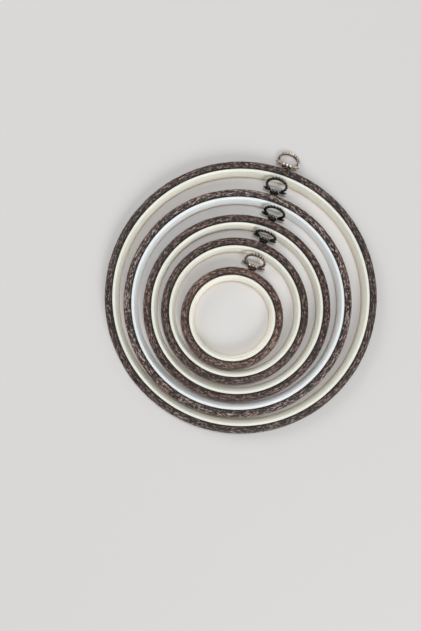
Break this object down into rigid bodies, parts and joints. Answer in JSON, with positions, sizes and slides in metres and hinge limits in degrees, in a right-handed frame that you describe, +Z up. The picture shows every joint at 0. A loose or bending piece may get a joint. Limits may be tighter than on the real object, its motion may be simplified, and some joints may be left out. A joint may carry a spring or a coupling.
{
  "type": "embroidery hoop",
  "caption": "Nested set of round embroidery hoops, each a rigid inner ring inside a flexible wood-grained outer ring with a swinging metal hanging ring.",
  "frame": {"origin": "middle of the set's outline, on the surface that it lies on", "axes": "+Z up, away from that surface; +Y towards the side of the set that the hangers are on"},
  "size_m": [0.2268, 0.2369, 0.0153],
  "materials": {
    "cream_plastic": "satin",
    "cool_white_plastic": "satin",
    "grained_vinyl_1": "embossed wood grain",
    "grained_vinyl_2": "embossed wood grain",
    "grained_vinyl_3": "embossed wood grain",
    "grained_vinyl_4": "embossed wood grain",
    "grained_vinyl_5": "embossed wood grain",
    "bronze": "antiqued",
    "dark_bronze": "antiqued, dark"
  },
  "bodies": {
    "inner_hoop_1": {"inner_ring_1": "cream_plastic"},
    "outer_hoop_1": {"outer_ring_1": "grained_vinyl_1", "hanger_clip_1": "bronze"},
    "hanger_1": {"hanging_ring_1": "bronze"},
    "inner_hoop_2": {"inner_ring_2": "cool_white_plastic"},
    "outer_hoop_2": {"outer_ring_2": "grained_vinyl_2", "hanger_clip_2": "dark_bronze"},
    "hanger_2": {"hanging_ring_2": "dark_bronze"},
    "inner_hoop_3": {"inner_ring_3": "cream_plastic"},
    "outer_hoop_3": {"outer_ring_3": "grained_vinyl_3", "hanger_clip_3": "dark_bronze"},
    "hanger_3": {"hanging_ring_3": "dark_bronze"},
    "inner_hoop_4": {"inner_ring_4": "cream_plastic"},
    "outer_hoop_4": {"outer_ring_4": "grained_vinyl_4", "hanger_clip_4": "dark_bronze"},
    "hanger_4": {"hanging_ring_4": "dark_bronze"},
    "inner_hoop_5": {"inner_ring_5": "cream_plastic"},
    "outer_hoop_5": {"outer_ring_5": "grained_vinyl_5", "hanger_clip_5": "bronze"},
    "hanger_5": {"hanging_ring_5": "bronze"}
  },
  "joints": [
    {"name": "pull_off_1", "type": "slide", "parent": "inner_hoop_1", "child": "outer_hoop_1", "axis": [0, 0, 1], "range_m": [0, 0.02]},
    {"name": "swing_1", "type": "hinge", "parent": "outer_hoop_1", "child": "hanger_1", "pos_m": [0.03913, 0.10646, 0.0032], "axis": [0.9432, -0.3322, 0], "range_deg": [-119.56, 135.44]},
    {"name": "lift_out_2", "type": "slide", "parent": "inner_hoop_1", "child": "inner_hoop_2", "axis": [0, 0, 1], "range_m": [0, 0.03]},
    {"name": "pull_off_2", "type": "slide", "parent": "inner_hoop_2", "child": "outer_hoop_2", "axis": [0, 0, 1], "range_m": [0, 0.02]},
    {"name": "swing_2", "type": "hinge", "parent": "outer_hoop_2", "child": "hanger_2", "pos_m": [0.02872, 0.08504, 0.0032], "axis": [0.9494, -0.314, 0], "range_deg": [0, 78.8]},
    {"name": "lift_out_3", "type": "slide", "parent": "inner_hoop_2", "child": "inner_hoop_3", "axis": [0, 0, 1], "range_m": [0, 0.03]},
    {"name": "pull_off_3", "type": "slide", "parent": "inner_hoop_3", "child": "outer_hoop_3", "axis": [0, 0, 1], "range_m": [0, 0.02]},
    {"name": "swing_3", "type": "hinge", "parent": "outer_hoop_3", "child": "hanger_3", "pos_m": [0.02707, 0.06335, 0.0032], "axis": [0.9304, -0.3665, 0], "range_deg": [0, 64.05]},
    {"name": "lift_out_4", "type": "slide", "parent": "inner_hoop_3", "child": "inner_hoop_4", "axis": [0, 0, 1], "range_m": [0, 0.03]},
    {"name": "pull_off_4", "type": "slide", "parent": "inner_hoop_4", "child": "outer_hoop_4", "axis": [0, 0, 1], "range_m": [0, 0.02]},
    {"name": "swing_4", "type": "hinge", "parent": "outer_hoop_4", "child": "hanger_4", "pos_m": [0.02009, 0.04509, 0.0032], "axis": [0.9252, -0.3795, 0], "range_deg": [0, 53.33]},
    {"name": "lift_out_5", "type": "slide", "parent": "inner_hoop_4", "child": "inner_hoop_5", "axis": [0, 0, 1], "range_m": [0, 0.03]},
    {"name": "pull_off_5", "type": "slide", "parent": "inner_hoop_5", "child": "outer_hoop_5", "axis": [0, 0, 1], "range_m": [0, 0.02]},
    {"name": "swing_5", "type": "hinge", "parent": "outer_hoop_5", "child": "hanger_5", "pos_m": [0.01056, 0.02209, 0.0032], "axis": [0.9265, -0.3762, 0], "range_deg": [0, 82.54]}
  ]
}
